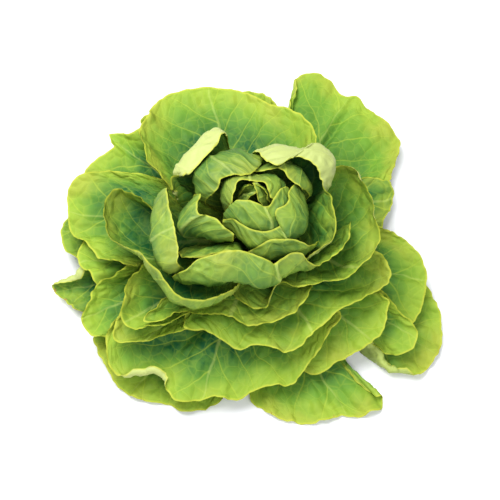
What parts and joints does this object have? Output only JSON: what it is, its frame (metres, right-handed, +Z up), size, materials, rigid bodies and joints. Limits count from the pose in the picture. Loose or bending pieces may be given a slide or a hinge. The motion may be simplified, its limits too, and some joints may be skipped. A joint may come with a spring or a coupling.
{
  "type": "butterhead lettuce",
  "caption": "Head of butterhead lettuce, standing on its cut stem, with open waved outer leaves round cupped leaves and a folded heart.",
  "frame": {"origin": "centre of the stem's cut face, on the surface that the head stands on", "axes": "+Z up the stem; -Y is the front of the head, the side that the picture is taken from; +X is the picture's right"},
  "size_m": [0.2966, 0.3021, 0.1073],
  "materials": {
    "stem": "satin",
    "outer_leaf": "satin",
    "cup_leaf": "satin",
    "heart_leaf": "satin"
  },
  "bodies": {
    "root": {"stem": "stem", "outer_leaf_01": "outer_leaf", "outer_leaf_02": "outer_leaf", "outer_leaf_03": "outer_leaf", "outer_leaf_04": "outer_leaf", "outer_leaf_05": "outer_leaf", "outer_leaf_06": "outer_leaf", "outer_leaf_07": "outer_leaf", "outer_leaf_08": "outer_leaf", "outer_leaf_09": "outer_leaf", "outer_leaf_10": "outer_leaf", "outer_leaf_11": "outer_leaf", "outer_leaf_12": "outer_leaf", "outer_leaf_13": "outer_leaf", "outer_leaf_14": "outer_leaf", "outer_leaf_15": "outer_leaf", "outer_leaf_16": "outer_leaf", "outer_leaf_17": "outer_leaf", "cup_leaf_01": "cup_leaf", "cup_leaf_02": "cup_leaf", "cup_leaf_03": "cup_leaf", "cup_leaf_04": "cup_leaf", "cup_leaf_05": "cup_leaf", "cup_leaf_06": "cup_leaf", "cup_leaf_07": "cup_leaf", "cup_leaf_08": "cup_leaf", "cup_leaf_09": "cup_leaf", "cup_leaf_10": "cup_leaf", "heart_leaf_01": "heart_leaf", "heart_leaf_02": "heart_leaf", "heart_leaf_03": "heart_leaf", "heart_leaf_04": "heart_leaf", "heart_leaf_05": "heart_leaf", "heart_leaf_06": "heart_leaf", "heart_leaf_07": "heart_leaf", "heart_leaf_08": "heart_leaf", "heart_leaf_09": "heart_leaf"}
  },
  "joints": []
}
